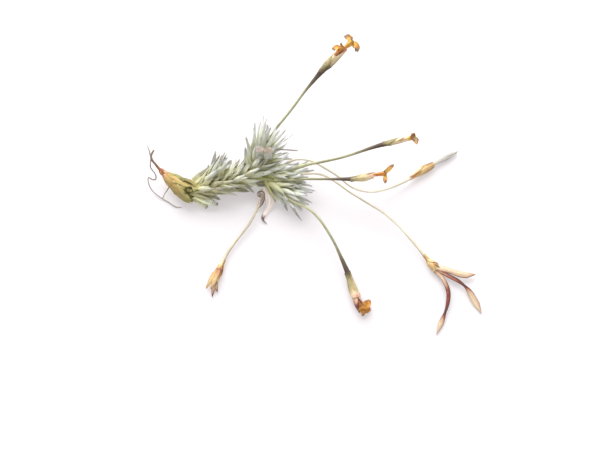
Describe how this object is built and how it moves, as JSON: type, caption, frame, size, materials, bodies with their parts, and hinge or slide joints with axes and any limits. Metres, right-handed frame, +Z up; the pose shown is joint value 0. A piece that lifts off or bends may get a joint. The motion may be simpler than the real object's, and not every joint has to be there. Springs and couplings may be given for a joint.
{
  "type": "air plant",
  "caption": "Small aizoides air plant lying on its side: keeled silvery leaves in spirals, wiry roots, thin stalks with papery bracts, withered orange blooms and dry capsules.",
  "frame": {"origin": "flat underside of the leaf that the plant rests on, under the middle of the main shoot", "axes": "+Z up from the surface it lies on, +X from the old base towards the young crowns and the blooms"},
  "size_m": [0.0849, 0.072, 0.0267],
  "materials": {
    "leaf": "matte",
    "leaf_dry": "matte",
    "old_base": "matte",
    "root": "matte",
    "stalk_green": "matte",
    "stalk_dry": "matte",
    "bract_fresh": "matte",
    "bract_dry": "matte",
    "petal": "matte",
    "capsule": "matte",
    "seed_plume": "matte"
  },
  "bodies": {
    "root": {"stalk_1": "stalk_green", "stalk_2": "stalk_green", "stalk_3": "stalk_green", "stalk_4": "stalk_dry", "stalk_5": "stalk_dry", "stalk_6": "stalk_green", "stalk_7": "stalk_dry", "old_stalk": "root", "flower_1": "petal", "flower_1_side": "petal", "flower_2": "petal", "flower_3": "petal", "flower_6": "petal", "seed_plume_4": "seed_plume", "capsule_5": "capsule", "capsule_7": "capsule", "bract_1": "bract_fresh", "bract_2": "bract_fresh", "bract_3": "bract_fresh", "bract_4": "bract_dry", "bract_5": "bract_dry", "bract_6": "bract_fresh", "bract_7": "bract_dry", "old_base": "old_base", "main_shoot": "leaf", "upper_shoot": "leaf", "lower_shoot": "leaf", "back_shoot": "leaf", "low_shoot": "leaf", "dry_leaf": "leaf_dry", "roots": "root"}
  },
  "joints": []
}
